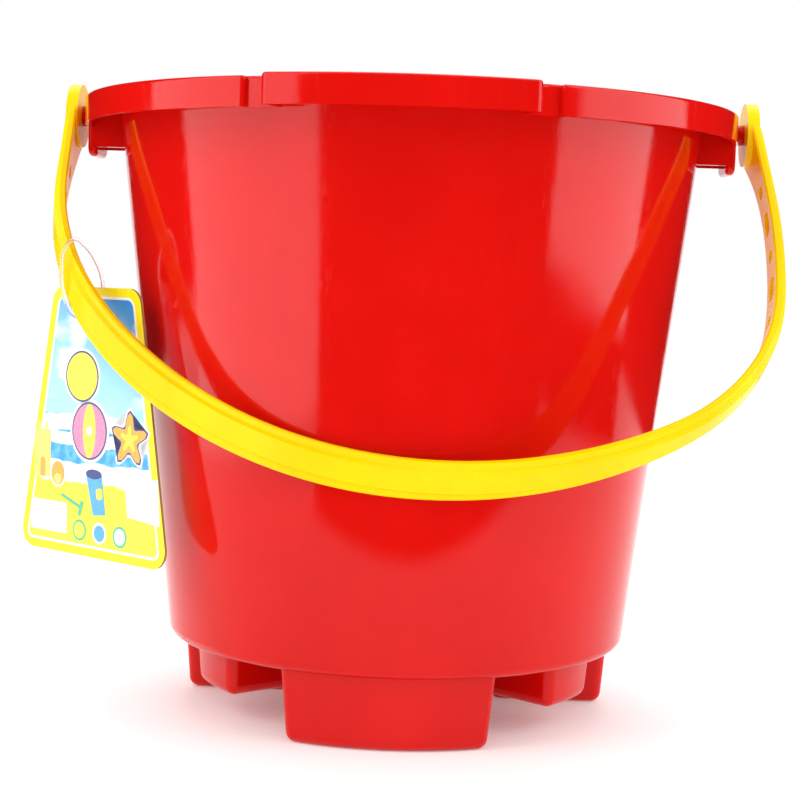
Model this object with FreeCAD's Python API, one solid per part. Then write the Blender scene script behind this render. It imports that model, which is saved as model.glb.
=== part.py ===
import FreeCAD, Part
import math
import os

# Toy sand bucket with moulded castle feet, a strap handle and a hang tag.
# Millimetres.  Z is the bucket's axis, z = 0 is the ground under the tall feet,
# -Y is the front and the handle's pivots lie on the X direction.

# ---------------------------------------------------------------- bucket body
total_height = 166.5        # ground to the top of the rim
foot_height = 19.3          # ground to the underside of the floor
base_radius = 63.7          # outer radius of the wall at the floor's underside
mouth_radius = 80.9         # outer radius of the wall at the rim's top
wall = 1.7                  # side wall
floor_thickness = 1.8
base_round = 3.0            # rounded lower edge of the wall
inner_round = 1.9           # the same edge, inside

# ---------------------------------------------------------------- castle feet
tall_foot_inset = 2.8       # outer face of a tall foot, in from the wall, at the floor
tall_foot_half_angle = 28.0
short_foot_inset = 6.7
short_foot_half_angle = 12.6
short_foot_lift = 7.3       # the short feet end this far above the ground
foot_inner_radius = 27.0
foot_draft = 4.0            # degrees, so that a sand castle lets go
foot_round = 2.8            # rounded edges and corners of the feet
foot_wall = 1.6
foot_pairs = 3              # tall feet, with a short one between each two

# ------------------------------------------------------------------------ rim
rim_overhang = 9.1          # side lobes stand out from the mouth this much
rim_lobe_rise = 5.8         # front and back lobes stand out this much more
rim_notch_depth = 1.9       # notch between two lobes, below the side lobes
lobe_half_angle = 20.2      # front lobe
notch_end_angle = 24.8      # where the side lobe starts
rim_drop = 7.4              # height of the down-turned skirt
rim_wall = 1.6
rim_corner = 2.0            # upright corners of the lobes
rim_edge = 0.85             # rounded top edge
rim_notch_round = 0.95      # upright corners where a notch meets the side lobe

# ----------------------------------------------------------------------- ears
ear_width = 16.0
ear_wall = 1.8              # the two gussets
ear_inset = 0.5             # tongue's outer face, in from the side lobe
tongue_thickness = 2.6
tongue_drop = 15.5          # rim's top to the lower end of the tongue
gusset_drop = 13.0          # rim's top to the lower edge of the gussets
pivot_drop = 4.1            # rim's top to the handle's pivots
ear_root = 7.4              # the ear's gussets reach this far in from the mouth
ear_corner = 3.0            # rounded lower corners of the tongue
ear_edge = 1.04             # rounded lower edges of the tongue

# ---------------------------------------------------------------------- studs
stud_diameter = 5.6
stud_head_diameter = 8.0
stud_head_thickness = 1.1
stud_head_round = 0.66
stud_clearance = 0.08       # radial, stud in the handle's eye
axial_clearance = 0.35      # stud head over the eye's web
head_clearance = 0.6        # radial, stud head in its seat

# --------------------------------------------------------------------- handle
strap_width = 10.2
strap_thickness = 3.2
crown_rise = 1.0            # raised middle of the strap's outer face
crown_margin = 1.7          # thin brim on each side of the crown
crown_slope = 0.8           # the crown narrows by this on each side
strap_chamfer = 0.45        # broken outer corners
eye_gap = 2.4               # side lobe to the eye's inner face
eye_diameter = 17.4
eye_neck = 16.4             # strap's width at the pivot
eye_taper = 21.0            # pivot to where the strap has its own width
eye_web = 1.6               # thickness that turns on the stud
handle_drop = 118.6         # pivots to the strap's lowest point
bottom_radius = 116.7
left_lean = 4.5             # degrees, the arms lean outwards from the eyes
left_arm_radius = 240.0
left_corner_radius = 82.0
right_lean = 12.7
right_arm_radius = 183.0
right_corner_radius = 56.8
settle_shift = 12.6         # the soft strap settles this far to the right
rest_gap = 0.6              # the resting strap to the wall
# how the soft strap twists: share of its length from the left eye, and degrees that
# its outer face turns forwards; the tag pulls it round at the left corner
strap_twist = [(0.0, 0.0), (0.12, 15.0), (0.22, 40.0), (0.32, 51.0), (0.42, 47.0), (0.5, 34.0),
               (0.6, 18.0), (0.7, 1.0), (0.8, -6.0), (0.9, -1.0), (1.0, 0.0)]
strap_stations = 30
pocket_pitch = 11.3
pocket_start = 21.0
pocket_count = 8
pocket_depth = 1.0
long_pocket = 7.4
short_pocket = 3.8
pocket_width = 4.4

# ------------------------------------------------------------------- hang tag
tag_height = 72.6
tag_top_width = 35.0
tag_bottom_width = 61.6
tag_thickness = 0.8
tag_corner = 5.0
tag_hole_diameter = 5.0
tag_hole_drop = 5.6         # hole centre below the tag's top edge
tag_heading = -39.4         # degrees, the tag's width against +X
tag_place = 59.5            # along the strap from the left eye
tag_behind = 8.4            # hole behind the strap's middle, across the card
tag_below = 7.6             # hole below the strap's middle

# ------------------------------------------------------------ nylon tag fastener
loop_wire = 1.0
loop_bend = 0.45            # share of the shorter run that a bend takes
# corners of the fastener's path: (towards the strap, up) from the tag's hole
loop_path = [(-1.9, -0.9), (-2.0, 8.4), (2.4, 15.2), (8.2, 19.0), (12.2, 14.6), (12.0, 4.8), (8.0, -3.4)]


# ------------------------------------------------------------- worked-out sizes
tall_foot_radius = base_radius - tall_foot_inset
short_foot_radius = base_radius - short_foot_inset
rim_radius = mouth_radius + rim_overhang
tongue_end = total_height - tongue_drop
gusset_end = total_height - gusset_drop
pivot_height = total_height - pivot_drop


def polar(radius, angle, z=0.0):
    """Point at an angle counted from the front, positive towards +X."""
    a = math.radians(angle)
    return FreeCAD.Vector(radius * math.sin(a), -radius * math.cos(a), z)


def arc(radius, start, end, z):
    middle = polar(radius, (start + end) / 2.0, z)
    return Part.Arc(polar(radius, start, z), middle, polar(radius, end, z)).toShape()


def line(a, b):
    return Part.LineSegment(a, b).toShape()


def slip(distance, radius):
    """Angle that a step of this length takes on a circle."""
    return math.degrees(math.asin(distance / radius))


def wall_radius(z):
    share = (z - foot_height) / (total_height - foot_height)
    return base_radius + (mouth_radius - base_radius) * share


def upright_edges(solid):
    found = []
    for edge in solid.Edges:
        box = edge.BoundBox
        if box.ZLength > 0.5 and max(box.XLength, box.YLength) < 0.4 * box.ZLength:
            found.append(edge)
    return found


def edges_at(solid, z):
    return [e for e in solid.Edges if e.BoundBox.ZLength < 1e-4 and abs(e.BoundBox.ZMin - z) < 1e-4]


# ---------------------------------------------------------------- bucket body
def cone(inset, bottom, top, rounding):
    slant = inset / math.cos(math.atan((mouth_radius - base_radius) / (total_height - foot_height)))
    r_low = wall_radius(bottom) - slant
    r_high = wall_radius(top) - slant
    solid = Part.makeCone(r_low, r_high, top - bottom, FreeCAD.Vector(0, 0, bottom))
    return solid.makeFillet(rounding, edges_at(solid, bottom))


def sector(radius, half_angle, inset, z):
    """Outline of a foot, moved in by inset on every side."""
    outer = radius - inset
    inner = foot_inner_radius + inset
    a_out = half_angle - slip(inset, outer)
    a_in = half_angle - slip(inset, inner)
    edges = [
        arc(outer, -a_out, a_out, z),
        line(polar(outer, a_out, z), polar(inner, a_in, z)),
        arc(inner, a_in, -a_in, z),
        line(polar(inner, -a_in, z), polar(outer, -a_out, z)),
    ]
    return Part.Wire(edges)


def foot(radius, half_angle, bottom, top, inset, rounding, direction):
    """A drafted block with rounded corners and a rounded lower end."""
    shrink = math.tan(math.radians(foot_draft))
    low = sector(radius, half_angle, inset + (foot_height - bottom) * shrink, bottom)
    high = sector(radius, half_angle, inset + (foot_height - top) * shrink, top)
    solid = Part.makeLoft([low, high], True, True)
    solid = solid.makeFillet(rounding, upright_edges(solid))
    solid = solid.makeFillet(rounding, edges_at(solid, bottom))
    solid.rotate(FreeCAD.Vector(0, 0, 0), FreeCAD.Vector(0, 0, 1), direction)
    return solid


def feet(inset, lift, top, rounding):
    solids = []
    pitch = 360.0 / foot_pairs
    for i in range(foot_pairs):
        solids.append(foot(tall_foot_radius, tall_foot_half_angle, lift, top,
                           inset, rounding, i * pitch))
        solids.append(foot(short_foot_radius, short_foot_half_angle, short_foot_lift + lift, top,
                           inset, rounding, (i + 0.5) * pitch))
    return solids


# ------------------------------------------------------------------------ rim
def rim_outline(inset, z):
    """Two wide side lobes and a prouder front and back lobe, with notches between."""
    lobe = rim_radius + rim_lobe_rise - inset
    side = rim_radius - inset
    notch = rim_radius - rim_notch_depth - inset
    near = lobe_half_angle - slip(inset, lobe)
    near_in = lobe_half_angle - slip(inset, notch)
    far = notch_end_angle + slip(inset, side)
    far_in = notch_end_angle + slip(inset, notch)
    edges = []
    for turn in (0.0, 180.0):
        edges.append(arc(lobe, turn - near, turn + near, z))
        edges.append(line(polar(lobe, turn + near, z), polar(notch, turn + near_in, z)))
        edges.append(arc(notch, turn + near_in, turn + far_in, z))
        edges.append(line(polar(notch, turn + far_in, z), polar(side, turn + far, z)))
        edges.append(arc(side, turn + far, turn + 180.0 - far, z))
        edges.append(line(polar(side, turn + 180.0 - far, z), polar(notch, turn + 180.0 - far_in, z)))
        edges.append(arc(notch, turn + 180.0 - far_in, turn + 180.0 - near_in, z))
        edges.append(line(polar(notch, turn + 180.0 - near_in, z), polar(lobe, turn + 180.0 - near, z)))
    return Part.Wire(edges)


def rim_block(inset, bottom, top, rounding):
    block = Part.Face(rim_outline(inset, bottom)).extrude(FreeCAD.Vector(0, 0, top - bottom))
    proud = [e for e in upright_edges(block) if radius_of(e) > rim_radius + rim_lobe_rise - inset - 0.1]
    block = block.makeFillet(rounding, proud)
    level = [e for e in upright_edges(block) if abs(radius_of(e) - rim_radius + inset) < 0.05]
    return block.makeFillet(min(rounding, rim_notch_round), level)


def radius_of(edge):
    middle = edge.CenterOfMass
    return math.hypot(middle.x, middle.y)


def rim():
    skirt_end = total_height - rim_drop
    block = rim_block(0.0, skirt_end, total_height, rim_corner)
    block = block.makeFillet(rim_edge, edges_at(block, total_height))
    hollow = rim_block(rim_wall, skirt_end - 1.0, total_height - rim_wall, rim_corner - rim_wall)
    return block.cut(hollow)


# ----------------------------------------------------------------------- ears
def ear(side):
    """Tongue below the rim, held to the wall by two gussets, with the pivot stud."""
    outer = rim_radius - ear_inset
    under_rim = total_height - rim_wall
    root = mouth_radius - ear_root
    tongue = Part.makeBox(tongue_thickness, ear_width, under_rim - tongue_end,
                          FreeCAD.Vector(outer - tongue_thickness, -ear_width / 2.0, tongue_end))
    lower = [e for e in tongue.Edges if e.BoundBox.ZMax < tongue_end + 0.01]
    ends = [e for e in lower if e.BoundBox.XLength > 1.0]
    tongue = tongue.makeFillet(ear_corner, ends)
    tongue = tongue.makeFillet(ear_edge, [e for e in tongue.Edges
                               if e.BoundBox.ZMax < tongue_end + 0.01 and e.BoundBox.YLength > 1.0])
    pieces = [tongue]
    for y in (-ear_width / 2.0, ear_width / 2.0 - ear_wall):
        pieces.append(Part.makeBox(outer - tongue_thickness / 2.0 - root, ear_wall, under_rim - gusset_end,
                                   FreeCAD.Vector(root, y, gusset_end)))
    along = FreeCAD.Vector(1, 0, 0)
    stud_root = FreeCAD.Vector(outer - tongue_thickness, 0, pivot_height)
    head_start = eye_inner() + eye_web + axial_clearance
    stud_length = head_start + stud_head_thickness / 2.0 - stud_root.x
    pieces.append(Part.makeCylinder(stud_diameter / 2.0, stud_length, stud_root, along))
    head = Part.makeCylinder(stud_head_diameter / 2.0, stud_head_thickness,
                             FreeCAD.Vector(head_start, 0, pivot_height), along)
    head = head.makeFillet(stud_head_round, [e for e in head.Edges
                           if e.BoundBox.XMin > head_start + stud_head_thickness - 0.01])
    pieces.append(head)
    solid = pieces[0].multiFuse(pieces[1:])
    if side < 0:
        solid.rotate(FreeCAD.Vector(0, 0, 0), FreeCAD.Vector(0, 0, 1), 180)
    return solid


def bucket_shell():
    floor_top = foot_height + floor_thickness
    body = cone(0.0, foot_height, total_height, base_round)
    pieces = feet(0.0, 0.0, floor_top, foot_round)
    pieces += [rim(), ear(-1), ear(1)]
    body = body.multiFuse(pieces)
    inside = cone(wall, floor_top, total_height + 1.0, inner_round)
    hollows = feet(foot_wall, foot_wall, floor_top + 0.5, foot_round - foot_wall)
    return body.cut(inside.multiFuse(hollows)).removeSplitter()


# --------------------------------------------------------------------- handle
def eye_inner():
    return rim_radius + eye_gap


def eye_outer():
    return eye_inner() + strap_thickness


def meeting(c1, r1, c2, r2, outward):
    """The crossing of two circles that lies further towards outward."""
    d = math.hypot(c2[0] - c1[0], c2[1] - c1[1])
    a = (r1 * r1 - r2 * r2 + d * d) / (2.0 * d)
    h = math.sqrt(r1 * r1 - a * a)
    ux = (c2[0] - c1[0]) / d
    uz = (c2[1] - c1[1]) / d
    found = [(c1[0] + ux * a - uz * k, c1[1] + uz * a + ux * k) for k in (h, -h)]
    return max(found, key=lambda p: p[0] * outward)


def on_circle(centre, towards, radius):
    d = math.hypot(towards[0] - centre[0], towards[1] - centre[1])
    return (centre[0] + (towards[0] - centre[0]) * radius / d,
            centre[1] + (towards[1] - centre[1]) * radius / d)


def arc_about(centre, radius, a, b):
    """Arc about centre from a to b, the short way."""
    middle = on_circle(centre, ((a[0] + b[0]) / 2.0, (a[1] + b[1]) / 2.0), radius)
    return Part.Arc(flat(a), flat(middle), flat(b)).toShape()


def flat(point):
    return FreeCAD.Vector(point[0], 0, point[1])


def half_path(side):
    """Arcs of the strap's middle line from an eye to the bottom, as x and z from the pivots."""
    inset = strap_thickness / 2.0
    lean = math.radians(right_lean if side > 0 else left_lean)
    arm_radius = (right_arm_radius if side > 0 else left_arm_radius) - inset
    corner_radius = (right_corner_radius if side > 0 else left_corner_radius) - inset
    low_radius = bottom_radius - inset
    start = (side * (eye_outer() - inset), 0.0)
    arm = (start[0] - side * arm_radius * math.cos(lean), -arm_radius * math.sin(lean))
    bottom = (settle_shift, -(handle_drop - bottom_radius))
    corner = meeting(arm, arm_radius - corner_radius, bottom, low_radius - corner_radius, side)
    second = on_circle(arm, corner, arm_radius)
    third = on_circle(bottom, corner, low_radius)
    last = (settle_shift, -(handle_drop - inset))
    return [
        arc_about(arm, arm_radius, start, second),
        arc_about(corner, corner_radius, second, third),
        arc_about(bottom, low_radius, third, last),
    ]


def walk(path, distance):
    """Point and direction at a distance along a chain of edges."""
    for edge in path:
        if distance <= edge.Length:
            parameter = edge.getParameterByLength(distance)
            return edge.valueAt(parameter), edge.tangentAt(parameter)
        distance -= edge.Length
    return edge.valueAt(edge.LastParameter), edge.tangentAt(edge.LastParameter)


def twist_at(share):
    """Smooth curve through the twist's named points."""
    points = strap_twist
    i = max(k for k in range(len(points) - 1) if share >= points[k][0] or k == 0)
    (s0, t0), (s1, t1) = points[i], points[i + 1]
    before = points[max(i - 1, 0)]
    after = points[min(i + 2, len(points) - 1)]
    span = s1 - s0
    slope0 = (t1 - before[1]) / (s1 - before[0]) * span
    slope1 = (after[1] - t0) / (after[0] - s0) * span
    u = (share - s0) / span
    return (t0 * (1 + 2 * u) * (1 - u) ** 2 + slope0 * u * (1 - u) ** 2
            + t1 * u * u * (3 - 2 * u) + slope1 * u * u * (u - 1))


class Strap:
    """The strap's middle line, and the way that its section faces along it."""

    def __init__(self):
        self.left = half_path(-1)
        self.right = half_path(1)
        self.left_length = sum(e.Length for e in self.left)
        self.length = self.left_length + sum(e.Length for e in self.right)

    def frame(self, distance):
        """Place, direction, width direction and outward direction."""
        if distance <= self.left_length:
            place, along = walk(self.left, distance)
        else:
            place, along = walk(self.right, self.length - distance)
            along = along * -1
        twist = math.radians(twist_at(min(distance / self.length, 1.0)))
        out = FreeCAD.Vector(along.z, 0, -along.x)
        front = FreeCAD.Vector(0, -1, 0)
        facing = out * math.cos(twist) + front * math.sin(twist)
        across = front * math.cos(twist) - out * math.sin(twist)
        return place, along, across, facing

    def width(self, distance):
        """The strap widens towards its eyes."""
        reach = min(distance, self.length - distance)
        share = max(0.0, 1.0 - reach / eye_taper)
        return strap_width + (eye_neck - strap_width) * share * share * (3 - 2 * share)

    def section(self, distance):
        place, along, across, facing = self.frame(distance)
        half = self.width(distance) / 2.0
        top = strap_thickness / 2.0
        brim = top - crown_rise
        c = strap_chamfer
        crown = half - crown_margin
        right = [(half - c, -top), (half, -top + c), (half, brim - c), (half - c, brim),
                 (crown, brim), (crown - crown_slope, top)]
        outline = right + [(-w, n) for w, n in reversed(right)]
        points = [place + across * w + facing * n for w, n in outline]
        return Part.makePolygon(points + points[:1])

    def gap(self, angle):
        """Least distance from the strap's edges to the wall when it leans this far forward."""
        least = mouth_radius
        for i in range(1, strap_stations):
            place, along, across, facing = self.frame(self.length * i / strap_stations)
            for w in (-strap_width / 2.0, strap_width / 2.0):
                corner = leaned(place + across * w - facing * (strap_thickness / 2.0), angle)
                outside = math.hypot(corner.x, corner.y) - wall_radius(corner.z)
                if corner.z < tongue_end - wall:
                    least = min(least, outside)
        return least

    def rest_angle(self):
        """The strap falls back until it rests on the wall."""
        low, high = 5.0, 85.0
        for i in range(30):
            middle = (low + high) / 2.0
            if self.gap(middle) < rest_gap:
                low = middle
            else:
                high = middle
        return high

    def solid(self):
        count = strap_stations
        sections = [self.section(self.length * i / count) for i in range(count + 1)]
        return Part.makeLoft(sections, True, False)

    def pocket(self, distance, length):
        """Oval cutter that reaches into the strap's inner face."""
        place, along, across, facing = self.frame(distance)
        straight = max(length - pocket_width, 0.0)
        radius = (length - straight) / 2.0
        depth = 2.0 * pocket_depth
        ends = [Part.makeCylinder(radius, depth, FreeCAD.Vector(x, 0, -pocket_depth))
                for x in (-straight / 2.0, straight / 2.0)]
        cutter = ends[0]
        if straight > 0.0:
            middle = Part.makeBox(straight, 2.0 * radius, depth,
                                  FreeCAD.Vector(-straight / 2.0, -radius, -pocket_depth))
            cutter = middle.multiFuse(ends)
        centre = place - facing * (strap_thickness / 2.0)
        turn = FreeCAD.Rotation(along, across, along.cross(across), "XYZ")
        cutter.Placement = FreeCAD.Placement(centre, turn)
        return cutter

    def pockets(self):
        """Alternating short and long ovals down the inner face of both arms."""
        cutters = []
        for i in range(pocket_count):
            length = short_pocket if i % 2 == 0 else long_pocket
            distance = pocket_start + i * pocket_pitch
            cutters.append(self.pocket(distance, length))
            cutters.append(self.pocket(self.length - distance, length))
        return cutters


def leaned(point, angle):
    """A point of the straight-down handle when it leans forward, in the bucket's frame."""
    turn = FreeCAD.Rotation(FreeCAD.Vector(1, 0, 0), -angle)
    return turn.multVec(point) + FreeCAD.Vector(0, 0, pivot_height)


def handle():
    strap = Strap()
    along = FreeCAD.Vector(1, 0, 0)
    hole = stud_diameter / 2.0 + stud_clearance
    seat = stud_head_diameter / 2.0 + head_clearance
    reach = eye_outer() + strap_thickness
    eyes = []
    cutters = [Part.makeCylinder(hole, 2.0 * reach, FreeCAD.Vector(-reach, 0, 0), along)]
    for side in (-1, 1):
        inner = FreeCAD.Vector(side * eye_inner(), 0, 0)
        eyes.append(Part.makeCylinder(eye_diameter / 2.0, strap_thickness, inner, along * side))
        start = FreeCAD.Vector(side * (eye_inner() + eye_web), 0, 0)
        cutters.append(Part.makeCylinder(seat, 2.0 * strap_thickness, start, along * side))
    solid = strap.solid().multiFuse(eyes)
    solid = solid.cut(cutters[0].multiFuse(cutters[1:] + strap.pockets()))
    solid.rotate(FreeCAD.Vector(0, 0, 0), along, -strap.rest_angle())
    solid.translate(FreeCAD.Vector(0, 0, pivot_height))
    return solid


# ------------------------------------------------------------------- hang tag
def tag_frame():
    """Placement whose x runs along the tag's width and whose z is up."""
    strap = Strap()
    held = leaned(strap.frame(tag_place)[0], strap.rest_angle())
    turn = FreeCAD.Rotation(FreeCAD.Vector(0, 0, 1), tag_heading)
    hole = held + turn.multVec(FreeCAD.Vector(0, tag_behind, -tag_below))
    return FreeCAD.Placement(hole, turn)


def hang_tag():
    top = tag_hole_drop
    low = tag_hole_drop - tag_height
    corners = [(-tag_top_width / 2.0, top), (tag_top_width / 2.0, top),
               (tag_bottom_width / 2.0, low), (-tag_bottom_width / 2.0, low)]
    points = [FreeCAD.Vector(x, -tag_thickness / 2.0, z) for x, z in corners]
    card = Part.Face(Part.makePolygon(points + points[:1])).extrude(FreeCAD.Vector(0, tag_thickness, 0))
    card = card.makeFillet(tag_corner, [e for e in card.Edges if e.BoundBox.YLength > tag_thickness / 2.0
                                        and e.BoundBox.XLength < 0.01])
    hole = Part.makeCylinder(tag_hole_diameter / 2.0, 3.0 * tag_thickness,
                             FreeCAD.Vector(0, -1.5 * tag_thickness, 0), FreeCAD.Vector(0, 1, 0))
    card = card.cut(hole)
    card.Placement = tag_frame()
    return card


def rounded_path(points, share):
    """Closed wire of straight runs joined by tangent arcs, each as large as its runs allow."""
    count = len(points)
    cuts = []
    for i in range(count):
        before = points[i - 1] - points[i]
        after = points[(i + 1) % count] - points[i]
        half = before.getAngle(after) / 2.0
        trim = share * min(before.Length, after.Length)
        radius = trim * math.tan(half)
        a = points[i] + before.normalize() * trim
        b = points[i] + after.normalize() * trim
        bisector = (before + after).normalize()
        middle = points[i] + bisector * (radius / math.sin(half) - radius)
        cuts.append((a, middle, b))
    edges = []
    for i in range(count):
        a, middle, b = cuts[i]
        edges.append(Part.Arc(a, middle, b).toShape())
        edges.append(line(b, cuts[(i + 1) % count][0]))
    return Part.Wire(edges)


def tag_loop():
    points = [FreeCAD.Vector(0, -forward, up) for forward, up in loop_path]
    path = rounded_path(points, loop_bend)
    start = path.Edges[0].valueAt(path.Edges[0].FirstParameter)
    heading = path.Edges[0].tangentAt(path.Edges[0].FirstParameter)
    section = Part.Wire(Part.makeCircle(loop_wire / 2.0, start, heading))
    loop = path.makePipeShell([section], True, False)
    loop.Placement = tag_frame()
    return loop


# --------------------------------------------------------------------- output
PARTS = {
    "bucket_shell": bucket_shell,
    "handle": handle,
    "hang_tag": hang_tag,
    "tag_loop": tag_loop,
}


def main():
    os.makedirs("parts", exist_ok=True)
    for name, make in PARTS.items():
        shape = make()
        solids = shape.Solids
        print(name, "solids", len(solids), "valid", shape.isValid(), "volume %.0f" % shape.Volume)
        result = solids[0] if len(solids) == 1 else Part.makeCompound(solids)
        result.exportStep("parts/" + name + ".step")


main()
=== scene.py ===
import math

import bmesh
import bpy
from mathutils import Matrix, Vector


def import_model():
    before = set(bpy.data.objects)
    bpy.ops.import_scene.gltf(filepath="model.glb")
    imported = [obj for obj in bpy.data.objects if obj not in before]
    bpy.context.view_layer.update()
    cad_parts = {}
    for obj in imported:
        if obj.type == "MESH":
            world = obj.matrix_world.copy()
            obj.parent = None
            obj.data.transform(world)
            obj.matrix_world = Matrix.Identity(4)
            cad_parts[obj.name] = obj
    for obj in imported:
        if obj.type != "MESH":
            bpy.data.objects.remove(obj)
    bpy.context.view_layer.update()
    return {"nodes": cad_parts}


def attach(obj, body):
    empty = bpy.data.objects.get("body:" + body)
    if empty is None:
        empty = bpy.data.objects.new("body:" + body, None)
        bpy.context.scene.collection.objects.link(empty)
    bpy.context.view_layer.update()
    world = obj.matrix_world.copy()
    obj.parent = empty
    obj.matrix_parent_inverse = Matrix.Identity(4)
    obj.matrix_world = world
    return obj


# Metres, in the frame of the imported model.  The front of the bucket is -Y.

MM = 0.001

# camera
CAMERA_DISTANCE = 0.5068
CAMERA_HEIGHT = 0.1206
CAMERA_TURN = math.radians(1.62)     # the bucket's front is turned this much to the camera's left
CAMERA_YAW = math.radians(-0.09)
CAMERA_PITCH = math.radians(3.97)    # downwards
CAMERA_ROLL = math.radians(1.84)
SENSOR = 36.0
LENS = 80.78

# the studio: azimuths in degrees, 0 before the bucket, positive to the right
FLOOR_REACH = 6.0
FLOOR_GLOW = 0.16
LAMPS = (                            # name, azimuth, distance, height, width, power
    ("key_left", -60.0, 1.1, 0.75, 0.7, 4.0),
    ("key_right", 75.0, 1.1, 0.75, 0.6, 3.0),
    ("top", 180.0, 0.5, 1.3, 1.0, 6.0),
)
LAMP_AIM = Vector((0.0, 0.0, 0.08))

# dark and bright cards round the table, which only reflections show
CARD_HEIGHT = 0.0004                 # above the floor
CARD_STEPS = 8
ROOM_RADIUS = 0.9
ROOM_HEIGHT = 1.2
WALL_STEPS = 6
FRONT_SECTOR = (-32.0, 57.0)
TABLE_EDGE = ((-32.0, 0.232), (-25.0, 0.216), (-9.0, 0.194), (8.0, 0.186), (25.0, 0.201), (45.0, 0.253),
              (57.0, 0.285))         # azimuth and distance of the dark floor's near edge
DARK_SIDES = (                       # name, sector, near and far distance
    ("dark_left", (-150.0, -92.0), 0.80, 0.9),
    ("dark_right_near", (57.0, 103.0), 0.40, 0.742),
    ("dark_right", (103.0, 155.0), 0.60, 0.9),
)
BRIGHT_SIDES = (                     # name, sector, near distance, strength
    ("bright_left", (-92.0, -32.0), 0.36, 1.9),
    ("bright_right", (57.0, 103.0), 0.742, 2.2),
)

# hang tag, as in the model
TAG_HEADING = math.radians(-39.4)
TAG_HOLE = Vector((-81.57, -29.95, 109.26)) * MM
TAG_HEIGHT = 72.6
TAG_TOP_WIDTH = 35.0
TAG_BOTTOM_WIDTH = 61.6
TAG_HOLE_DROP = 5.6
TAG_THICKNESS = 0.8
TAG_CORNER = 5.0
PRINT_BORDER = 2.3
PRINT_LINE = 0.7
INK = 0.03                           # how far each printed layer stands off the card, in mm
DOT_RADIUS = 2.9
DOT_RING = 0.7
DOT_PITCH = 8.4

# mouldings: colour, darker flow streaks, roughness, translucency, waviness, specular level
RED = ((0.68, 0.005, 0.003, 1), (0.60, 0.004, 0.002, 1), 0.05, 0.05, 0.035, 0.26)
YELLOW = ((0.95, 0.71, 0.001, 1), (0.91, 0.60, 0.001, 1), 0.22, 0.06, 0.03, 0.13)


# ------------------------------------------------------------- node helpers
class Nodes:
    """Short calls for building one material's nodes."""

    def __init__(self, name):
        self.material = bpy.data.materials.new(name)
        self.material.use_nodes = True
        self.tree = self.material.node_tree
        self.shader = self.tree.nodes["Principled BSDF"]

    def new(self, kind, inputs=None, **settings):
        node = self.tree.nodes.new(kind)
        for key, value in settings.items():
            setattr(node, key, value)
        for key, value in (inputs or {}).items():
            self.put(value, node.inputs[key])
        return node

    def put(self, value, socket):
        if isinstance(value, bpy.types.NodeSocket):
            self.tree.links.new(value, socket)
        else:
            socket.default_value = value

    def math(self, operation, *values):
        inputs = dict(enumerate(values))
        return self.new("ShaderNodeMath", inputs, operation=operation).outputs[0]

    def noise(self, vector, scale, detail=2.0, roughness=0.5):
        inputs = {"Vector": vector, "Scale": scale, "Detail": detail, "Roughness": roughness}
        return self.new("ShaderNodeTexNoise", inputs).outputs["Fac"]

    def remap(self, value, low, high, to_low, to_high):
        inputs = {"Value": value, "From Min": low, "From Max": high, "To Min": to_low, "To Max": to_high}
        return self.new("ShaderNodeMapRange", inputs, clamp=True).outputs["Result"]

    def mix(self, factor, a, b):
        node = self.new("ShaderNodeMix", data_type="RGBA")
        self.put(factor, node.inputs[0])
        self.put(a, node.inputs[6])
        self.put(b, node.inputs[7])
        return node.outputs[2]

    def place(self, **settings):
        """Object coordinates, optionally moved, turned and scaled."""
        where = self.new("ShaderNodeTexCoord").outputs["Object"]
        if not settings:
            return where
        node = self.new("ShaderNodeMapping", {"Vector": where}, vector_type="TEXTURE")
        for key, value in settings.items():
            node.inputs[key].default_value = value
        return node.outputs[0]

    def bump(self, height, strength, distance, normal=None):
        inputs = {"Height": height, "Strength": strength, "Distance": distance}
        if normal is not None:
            inputs["Normal"] = normal
        return self.new("ShaderNodeBump", inputs).outputs["Normal"]

    def finish(self, colour, roughness, normal=None, **plain):
        self.put(colour, self.shader.inputs["Base Color"])
        self.put(roughness, self.shader.inputs["Roughness"])
        if normal is not None:
            self.put(normal, self.shader.inputs["Normal"])
        for key, value in plain.items():
            self.shader.inputs[key.replace("_", " ")].default_value = value
        return self.material


# ---------------------------------------------------------------- materials
def scratches(n, where, length, width):
    """Fine hair scratches running round and up the moulding, as a 0 to 1 mask."""
    masks = []
    for turn in (0.0, 1.1):
        node = n.new("ShaderNodeMapping", {"Vector": where}, vector_type="POINT")
        node.inputs["Rotation"].default_value = (0.35 * turn, 0.2, turn)
        node.inputs["Scale"].default_value = (1.0 / width, 1.0 / width, 1.0 / length)
        masks.append(n.remap(n.noise(node.outputs[0], 1.0, 1.0), 0.66, 0.74, 0.0, 1.0))
    return n.math("MAXIMUM", masks[0], masks[1])


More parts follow.
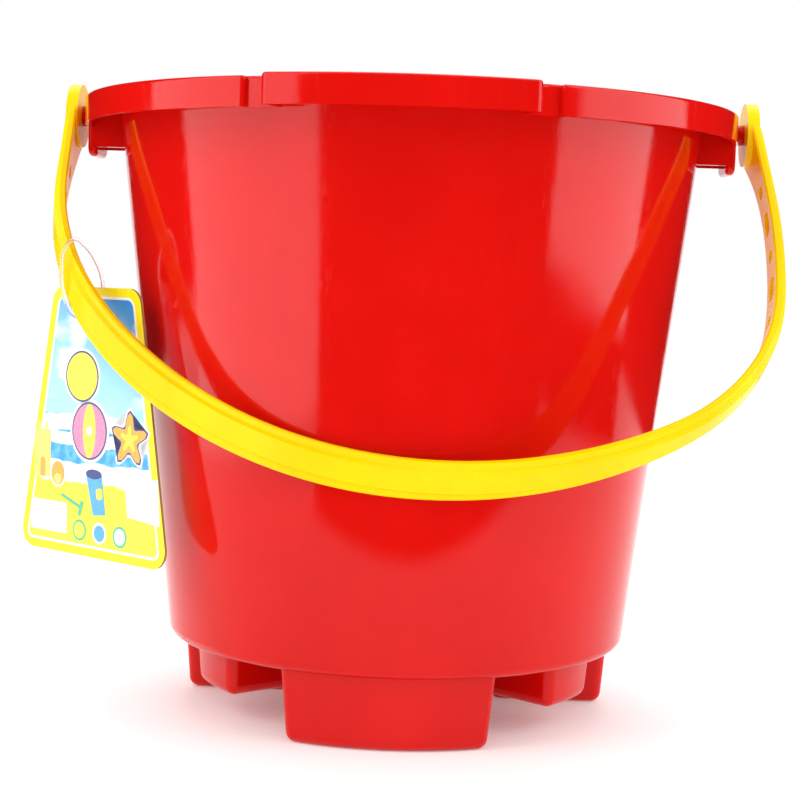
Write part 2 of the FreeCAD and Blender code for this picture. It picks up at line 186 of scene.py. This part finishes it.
def moulded_plastic(name, colour, deep, gloss, translucency, wave, specular):
    """Injection moulded polypropylene: faint flow streaks, soft waviness and fine handling marks."""
    n = Nodes(name)
    where = n.place()
    flow = n.noise(n.place(Scale=(0.03, 0.03, 0.11)), 1.0, 3.0, 0.55)
    cloud = n.noise(where, 55.0, 3.0, 0.5)
    speck = n.remap(n.noise(where, 1900.0, 1.0), 0.70, 0.78, 0.0, 0.35)
    shade = n.math("ADD", n.math("MULTIPLY", flow, 0.6), n.math("MULTIPLY", cloud, 0.4))
    base = n.mix(n.remap(shade, 0.35, 0.65, 0.0, 1.0), deep, colour)
    base = n.mix(speck, base, deep)
    marks = scratches(n, where, 0.030, 0.00045)
    smear = n.noise(where, 140.0, 3.0, 0.6)
    rough = n.remap(smear, 0.3, 0.7, gloss, gloss + 0.04)
    rough = n.math("ADD", rough, n.math("MULTIPLY", marks, 0.10))
    normal = n.bump(n.noise(where, 46.0, 1.0), wave, 0.0012)
    normal = n.bump(n.noise(where, 2600.0, 2.0), 0.045, 0.0002, normal)
    normal = n.bump(marks, 0.05, 0.0002, normal)
    material = n.finish(base, rough, normal, IOR=1.49, Subsurface_Weight=translucency,
                        Subsurface_Scale=0.004, Specular_IOR_Level=specular)
    n.shader.inputs["Subsurface Radius"].default_value = (1.0, 0.35, 0.2)
    return material


def clear_nylon():
    """Drawn nylon: nearly clear, slightly milky, with faint lengthwise ridges."""
    n = Nodes("clear_nylon")
    where = n.place()
    milk = n.remap(n.noise(where, 420.0, 2.0), 0.3, 0.7, 0.0, 1.0)
    base = n.mix(milk, (0.93, 0.95, 0.95, 1.0), (1.0, 1.0, 1.0, 1.0))
    rough = n.remap(n.noise(where, 900.0, 2.0), 0.3, 0.7, 0.10, 0.24)
    normal = n.bump(n.noise(where, 1500.0, 2.0), 0.12, 0.0002)
    return n.finish(base, rough, normal, IOR=1.53, Transmission_Weight=0.92)


def tag_place(n):
    """Millimetres from the tag's hole: across the card, and up."""
    where = n.place(Location=TAG_HOLE, Rotation=(0.0, 0.0, TAG_HEADING), Scale=(MM, MM, MM))
    split = n.new("ShaderNodeSeparateXYZ", {"Vector": where})
    return where, split.outputs["X"], split.outputs["Y"], split.outputs["Z"]


def edge_distance(n, across, up):
    """Distance in from the card's outline, rounded at its corners."""
    slope = (TAG_BOTTOM_WIDTH - TAG_TOP_WIDTH) / 2.0 / TAG_HEIGHT
    below_top = n.math("SUBTRACT", TAG_HOLE_DROP, up)
    half = n.math("MULTIPLY_ADD", below_top, slope, TAG_TOP_WIDTH / 2.0)
    side = n.math("MULTIPLY", n.math("SUBTRACT", half, n.math("ABSOLUTE", across)),
                  math.cos(math.atan(slope)))
    end = n.math("MINIMUM", below_top, n.math("SUBTRACT", TAG_HEIGHT, below_top))
    a = n.math("MAXIMUM", n.math("SUBTRACT", TAG_CORNER, side), 0.0)
    b = n.math("MAXIMUM", n.math("SUBTRACT", TAG_CORNER, end), 0.0)
    reach = n.math("SQRT", n.math("ADD", n.math("MULTIPLY", a, a), n.math("MULTIPLY", b, b)))
    return n.math("SUBTRACT", TAG_CORNER, reach)


def wavy_band(n, where, up, centre, half_width, swing, seed):
    """1 inside a hand-drawn looking band across the card."""
    node = n.new("ShaderNodeMapping", {"Vector": where}, vector_type="POINT")
    node.inputs["Scale"].default_value = (0.075, 0.0, 0.0)
    node.inputs["Location"].default_value = (seed, seed, seed)
    ripple = n.math("MULTIPLY_ADD", n.noise(node.outputs[0], 1.0, 2.0), 2.0 * swing, -swing)
    height = n.math("SUBTRACT", n.math("ADD", up, ripple), centre)
    return n.remap(n.math("ABSOLUTE", height), half_width, half_width + 0.35, 1.0, 0.0)


def printed_card():
    """Coated card, printed on both faces: yellow frame, white line, sky, sea and sand."""
    n = Nodes("printed_card")
    where, across, depth, up = tag_place(n)
    edge = edge_distance(n, across, up)
    sky_height = n.math("MULTIPLY_ADD", across, 0.35, up)
    sky = n.mix(n.remap(sky_height, -24.0, 7.0, 0.0, 1.0), (0.42, 0.80, 0.95, 1), (0.02, 0.27, 0.82, 1))
    clouds = n.new("ShaderNodeMapping", {"Vector": where}, vector_type="POINT")
    clouds.inputs["Scale"].default_value = (0.055, 0.0, 0.11)
    puff = n.remap(n.noise(clouds.outputs[0], 1.0, 2.0, 0.45), 0.56, 0.66, 0.0, 0.75)
    sky = n.mix(puff, sky, (0.97, 0.99, 1.0, 1))
    sea = n.mix(n.remap(n.noise(where, 0.35, 3.0), 0.4, 0.6, 0.0, 1.0),
                (0.05, 0.36, 0.78, 1), (0.16, 0.55, 0.90, 1))
    picture = n.mix(n.remap(up, -29.4, -29.0, 1.0, 0.0), sky, sea)
    for band in ((-31.5, 2.0, 3.4, 1.7), (-36.5, 1.5, 4.2, 5.2), (-45.0, 3.1, 3.0, 9.1)):
        picture = n.mix(wavy_band(n, where, up, *band), picture, (0.94, 0.98, 1.0, 1))
    grain = n.remap(n.noise(where, 3.5, 2.0), 0.35, 0.7, 0.0, 1.0)
    sand = n.mix(grain, (0.98, 0.80, 0.02, 1), (1.0, 0.90, 0.10, 1))
    shore = n.new("ShaderNodeMapping", {"Vector": where}, vector_type="POINT")
    shore.inputs["Scale"].default_value = (0.06, 0.0, 0.0)
    dune = n.math("MULTIPLY_ADD", n.noise(shore.outputs[0], 1.0, 2.0), 8.0, up)
    picture = n.mix(n.remap(dune, -43.6, -43.1, 1.0, 0.0), picture, sand)
    frame_yellow = n.mix(n.remap(n.noise(where, 0.9, 2.0), 0.35, 0.65, 0.0, 1.0),
                         (0.96, 0.82, 0.005, 1), (1.0, 0.88, 0.01, 1))
    line = n.remap(edge, PRINT_BORDER + PRINT_LINE, PRINT_BORDER + PRINT_LINE + 0.15, 0.0, 1.0)
    colour = n.mix(line, (0.95, 0.97, 0.95, 1), picture)
    colour = n.mix(n.remap(edge, PRINT_BORDER, PRINT_BORDER + 0.15, 0.0, 1.0), frame_yellow, colour)
    half = TAG_THICKNESS / 2.0
    core = n.remap(n.math("ABSOLUTE", depth), half - 0.05, half - 0.02, 1.0, 0.0)
    colour = n.mix(core, colour, (0.36, 0.27, 0.10, 1))
    rough = n.remap(n.noise(where, 1.5, 3.0), 0.3, 0.7, 0.30, 0.42)
    normal = n.bump(n.noise(where, 0.12, 2.0), 0.25, 0.002)
    normal = n.bump(n.noise(where, 14.0, 2.0), 0.05, 0.0001, normal)
    return n.finish(colour, rough, normal, Specular_IOR_Level=0.25, Coat_Weight=0.12,
                    Coat_Roughness=0.18)


def ink(name, colour, second=None):
    """Printing ink with a soft halftone towards a second colour."""
    n = Nodes("ink_" + name)
    where = tag_place(n)[0]
    dots = n.remap(n.noise(where, 5.0, 2.0), 0.35, 0.65, 0.0, 1.0)
    base = n.mix(dots, colour, second or tuple(0.86 * c for c in colour[:3]) + (1.0,))
    rough = n.remap(n.noise(where, 2.0, 2.0), 0.3, 0.7, 0.28, 0.40)
    return n.finish(base, rough, n.bump(n.noise(where, 14.0, 2.0), 0.05, 0.0001))


def floor_material():
    n = Nodes("studio_floor")
    where = n.place()
    tone = n.mix(n.remap(n.noise(where, 3.0, 2.0), 0.3, 0.7, 0.0, 1.0),
                 (0.92, 0.92, 0.92, 1), (0.94, 0.94, 0.94, 1))
    return n.finish(tone, 0.55, None, Specular_IOR_Level=0.0, Emission_Color=(1.0, 1.0, 1.0, 1.0),
                    Emission_Strength=FLOOR_GLOW)


def give(obj, material):
    obj.data.materials.clear()
    obj.data.materials.append(material)


# -------------------------------------------------------- printed tag shapes
def tag_matrix(side):
    """Frame of a face of the card: x across, y up, z out of the card; side 1 is the front."""
    along = Vector((math.cos(TAG_HEADING), math.sin(TAG_HEADING), 0.0)) * side
    out = Vector((math.sin(TAG_HEADING), -math.cos(TAG_HEADING), 0.0)) * side
    up = Vector((0.0, 0.0, 1.0))
    matrix = Matrix((along, up, out)).transposed().to_4x4()
    matrix.translation = TAG_HOLE
    return matrix


def print_shape(name, outline, layer, material, side=1):
    """A flat printed shape from its outline in mm, a hair off the card's face."""
    lift = TAG_THICKNESS / 2.0 + INK * layer
    mesh = bpy.data.meshes.new(name)
    bm = bmesh.new()
    bm.faces.new([bm.verts.new((x * MM, y * MM, lift * MM)) for x, y in outline])
    bmesh.ops.triangulate(bm, faces=bm.faces)
    bm.to_mesh(mesh)
    bm.free()
    mesh.transform(tag_matrix(side))
    obj = bpy.data.objects.new(name, mesh)
    bpy.context.scene.collection.objects.link(obj)
    give(obj, material)
    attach(obj, "tag")
    return obj


def oval(cx, cy, rx, ry, turn=0.0, start=0.0, end=360.0, count=40):
    points = []
    for i in range(count + 1 if end - start < 360.0 else count):
        a = math.radians(start + (end - start) * i / count)
        x, y = rx * math.cos(a), ry * math.sin(a)
        points.append((x, y))
    return moved(points, cx, cy, turn)


def star(cx, cy, outer, inner, arms, turn=0.0):
    points = []
    for i in range(arms * 8):
        phase = (i % 8) / 8.0
        swell = 0.5 + 0.5 * math.cos(2.0 * math.pi * phase)
        r = inner + (outer - inner) * swell ** 1.5
        a = turn + 2.0 * math.pi * i / (arms * 8)
        points.append((cx + r * math.cos(a), cy + r * math.sin(a)))
    return points


def moved(points, cx, cy, turn, scale=1.0):
    c, s = math.cos(turn) * scale, math.sin(turn) * scale
    return [(cx + x * c - y * s, cy + x * s + y * c) for x, y in points]


def rounded_box(cx, cy, width, height, radius, turn=0.0):
    points = []
    for k, (sx, sy) in enumerate(((1, 1), (-1, 1), (-1, -1), (1, -1))):
        for i in range(7):
            a = math.radians(90.0 * k + 15.0 * i)
            points.append((sx * (width / 2.0 - radius) + radius * math.cos(a),
                           sy * (height / 2.0 - radius) + radius * math.sin(a)))
    return moved(points, cx, cy, turn)


def gull(cx, cy, span, turn):
    top = [(-1.0, 0.25), (-0.72, 0.52), (-0.38, 0.42), (0.0, 0.0),
           (0.38, 0.42), (0.72, 0.52), (1.0, 0.25)]
    low = [(0.70, 0.30), (0.36, 0.16), (0.0, -0.26), (-0.36, 0.16), (-0.70, 0.30)]
    return moved(top + low, cx, cy, turn, span / 2.0)


def print_tag():
    """A plain beach picture: gulls, ball, starfish, pail, rake, shell and blank panels."""
    white = ink("white", (0.95, 0.96, 0.97, 1))
    navy = ink("navy", (0.03, 0.05, 0.22, 1))
    pink = ink("pink", (0.90, 0.16, 0.36, 1), (0.96, 0.35, 0.52, 1))
    orange = ink("orange", (0.95, 0.33, 0.03, 1), (0.98, 0.48, 0.06, 1))
    sun = ink("sun", (0.98, 0.72, 0.02, 1), (0.98, 0.82, 0.08, 1))
    lemon = ink("lemon", (0.80, 0.88, 0.04, 1), (0.90, 0.92, 0.10, 1))
    blue = ink("blue", (0.05, 0.34, 0.75, 1), (0.12, 0.48, 0.85, 1))
    green = ink("green", (0.05, 0.48, 0.20, 1), (0.14, 0.60, 0.28, 1))
    sand = ink("sand", (0.93, 0.66, 0.10, 1), (0.97, 0.78, 0.22, 1))
    shapes = [
        ("gull", gull(9.5, -8.5, 6.5, 0.5), 1, white),
        ("gull_small", gull(-9.0, -6.0, 4.0, -0.2), 1, white),
        ("sun_edge", oval(-5.0, -18.5, 7.6, 7.6), 1, white),
        ("sun_line", oval(-5.0, -18.5, 6.9, 6.9), 2, navy),
        ("sun_disc", oval(-5.0, -18.5, 6.4, 6.4), 3, sun),
        ("ball_edge", oval(-1.5, -33.0, 8.1, 8.6), 1, white),
        ("ball_line", oval(-1.5, -33.0, 7.3, 7.8), 2, navy),
        ("ball_pink", oval(-1.5, -33.0, 6.8, 7.3), 3, pink),
        ("ball_lemon", oval(-1.5, -33.0, 2.6, 7.3), 4, lemon),
        ("ball_cap", oval(-1.5, -33.0, 1.2, 1.2), 5, white),
        ("star_edge", star(15.0, -34.0, 8.6, 4.6, 5, 0.3), 1, white),
        ("star_line", star(15.0, -34.0, 7.8, 3.9, 5, 0.3), 2, navy),
        ("star_body", star(15.0, -34.0, 7.1, 3.3, 5, 0.3), 3, orange),
        ("star_heart", star(15.0, -34.0, 3.8, 1.5, 5, 0.3), 4, sun),
        ("shell_edge", oval(-14.6, -45.5, 3.4, 3.8), 1, white),
        ("shell_body", oval(-14.6, -45.5, 2.8, 3.2), 2, orange),
        ("shell_lip", oval(-14.6, -47.0, 1.6, 1.4), 3, sand),
        ("castle", [(-25, -47), (-25, -34), (-23.6, -34), (-23.6, -32), (-22.4, -32), (-22.4, -34),
                    (-20.6, -34), (-20.6, -32), (-19.4, -32), (-19.4, -34),
                    (-18, -34), (-18, -47)], 1, sand),
        ("castle_door", [(-22.4, -47), (-22.4, -43)] + oval(-21.3, -43, 1.1, 1.4, 0, 180, 0, 8)
         + [(-20.2, -47)], 2, orange),
        ("pail", [(-2.6, -44.5), (4.0, -44.5), (5.8, -55.0), (0.6, -55.6)], 2, blue),
        ("pail_mouth", oval(0.7, -44.5, 3.3, 1.3), 3, navy),
        ("pail_patch", rounded_box(3.2, -49.6, 2.6, 3.0, 0.8, 0.2), 4, lemon),
        ("rake_handle", rounded_box(-8.8, -52.6, 9.0, 1.0, 0.45, -0.32), 1, green),
        ("rake_head", rounded_box(-4.6, -54.2, 1.4, 4.2, 0.5, -0.32), 2, green),
        ("panel_right", [(13.4, -45.0), (26.6, -43.5), (27.6, -55.6), (14.8, -54.6)], 1, white),
        ("panel_left", rounded_box(-18.2, -57.6, 15.5, 8.4, 0.5), 1, white),
    ]
    inner = DOT_RADIUS - DOT_RING
    for i, (ring, dot) in enumerate(((green, lemon), (white, blue), (green, white))):
        x = -5.0 + DOT_PITCH * i
        shapes.append(("dot_ring_%d" % i, oval(x, -60.2, DOT_RADIUS, DOT_RADIUS), 1, ring))
        shapes.append(("dot_%d" % i, oval(x, -60.2, inner, inner), 2, dot))
    for name, outline, layer, material in shapes:
        print_shape("tag_print_" + name, outline, layer, material)


# -------------------------------------------------------------------- studio
def camera():
    """The camera stands before the bucket, which is turned a little about its axis."""
    heading = CAMERA_YAW - CAMERA_TURN
    forward = Vector((math.sin(heading) * math.cos(CAMERA_PITCH),
                      math.cos(heading) * math.cos(CAMERA_PITCH), -math.sin(CAMERA_PITCH)))
    level = Vector((math.cos(heading), -math.sin(heading), 0.0))
    up = level.cross(forward)
    right = level * math.cos(CAMERA_ROLL) + up * math.sin(CAMERA_ROLL)
    top = up * math.cos(CAMERA_ROLL) - level * math.sin(CAMERA_ROLL)
    data = bpy.data.cameras.new("camera")
    data.sensor_width = SENSOR
    data.lens = LENS
    obj = bpy.data.objects.new("camera", data)
    bpy.context.scene.collection.objects.link(obj)
    matrix = Matrix((right, top, -forward)).transposed().to_4x4()
    matrix.translation = (CAMERA_DISTANCE * math.sin(CAMERA_TURN),
                          -CAMERA_DISTANCE * math.cos(CAMERA_TURN), CAMERA_HEIGHT)
    obj.matrix_world = matrix
    bpy.context.scene.camera = obj


def plane(name, corners, material, seen=True):
    mesh = bpy.data.meshes.new(name)
    mesh.from_pydata([Vector(c) for c in corners], [], [list(range(len(corners)))])
    obj = bpy.data.objects.new(name, mesh)
    bpy.context.scene.collection.objects.link(obj)
    give(obj, material)
    if not seen:
        obj.visible_camera = False
        obj.visible_diffuse = False
        obj.visible_shadow = False
        obj.visible_transmission = False
    return obj


def dark_card():
    n = Nodes("dark_studio")
    return n.finish((0.01, 0.01, 0.01, 1), 1.0, None, Specular_IOR_Level=0.0)


def bright_card(name, strength):
    n = Nodes(name)
    return n.finish((0.8, 0.8, 0.8, 1), 1.0, None, Emission_Color=(1.0, 1.0, 1.0, 1.0),
                    Emission_Strength=strength)


def floor_card(name, sector, inner, far, material):
    """Dark or bright floor beyond the table: seen only in reflections."""
    start, end = sector
    outer = [around(end + (start - end) * i / CARD_STEPS, far, CARD_HEIGHT) for i in range(CARD_STEPS + 1)]
    plane(name, inner + outer, material, seen=False)


def wall_card(name, sector, distance, material):
    """The same for the end of the room, in flat panels round the table."""
    start, end = sector
    for i in range(WALL_STEPS):
        a, b = (start + (end - start) * k / WALL_STEPS for k in (i, i + 1))
        corners = [around(a, distance, 0.0), around(b, distance, 0.0),
                   around(b, distance, ROOM_HEIGHT), around(a, distance, ROOM_HEIGHT)]
        plane("%s_%d" % (name, i), corners, material, seen=False)


def around(azimuth, distance, height):
    """A point of the studio: azimuth 0 is before the bucket, positive to the right."""
    a = math.radians(azimuth)
    return (distance * math.sin(a), -distance * math.cos(a), height)


def near_edge(sector, near):
    return [around(azimuth, near, CARD_HEIGHT) for azimuth in sector]


def lamp(name, azimuth, distance, height, width, power):
    data = bpy.data.lights.new(name, "AREA")
    data.shape = "SQUARE"
    data.size = width
    data.energy = power
    obj = bpy.data.objects.new(name, data)
    bpy.context.scene.collection.objects.link(obj)
    obj.location = around(azimuth, distance, height)
    aim = LAMP_AIM - obj.location
    obj.rotation_euler = aim.to_track_quat("-Z", "Y").to_euler()
    return obj


def studio():
    world = bpy.data.worlds.new("studio")
    world.use_nodes = True
    background = world.node_tree.nodes["Background"]
    background.inputs["Color"].default_value = (1.0, 1.0, 1.0, 1.0)
    background.inputs["Strength"].default_value = 1.0
    bpy.context.scene.world = world
    bpy.context.scene.view_settings.view_transform = "Standard"
    corners = ((-1, -1), (1, -1), (1, 1), (-1, 1))
    plane("floor", [(x * FLOOR_REACH, y * FLOOR_REACH, 0) for x, y in corners], floor_material())
    dark = dark_card()
    front = [around(azimuth, distance, CARD_HEIGHT) for azimuth, distance in TABLE_EDGE]
    floor_card("dark_front", FRONT_SECTOR, front, ROOM_RADIUS, dark)
    wall_card("dark_front_wall", FRONT_SECTOR, ROOM_RADIUS, dark)
    for name, sector, near, far in DARK_SIDES:
        floor_card(name, sector, near_edge(sector, near), far, dark)
        if far == ROOM_RADIUS:
            wall_card(name + "_wall", sector, far, dark)
    for name, sector, near, strength in BRIGHT_SIDES:
        bright = bright_card(name, strength)
        floor_card(name, sector, near_edge(sector, near), ROOM_RADIUS, bright)
        wall_card(name + "_wall", sector, ROOM_RADIUS, bright)
    for settings in LAMPS:
        lamp(*settings)


# --------------------------------------------------------------------- build
def main():
    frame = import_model()
    camera()
    studio()
    nodes = frame["nodes"]
    give(nodes["bucket_shell"], moulded_plastic("red_plastic", *RED))
    give(nodes["handle"], moulded_plastic("yellow_plastic", *YELLOW))
    give(nodes["hang_tag"], printed_card())
    give(nodes["tag_loop"], clear_nylon())
    print_tag()


main()
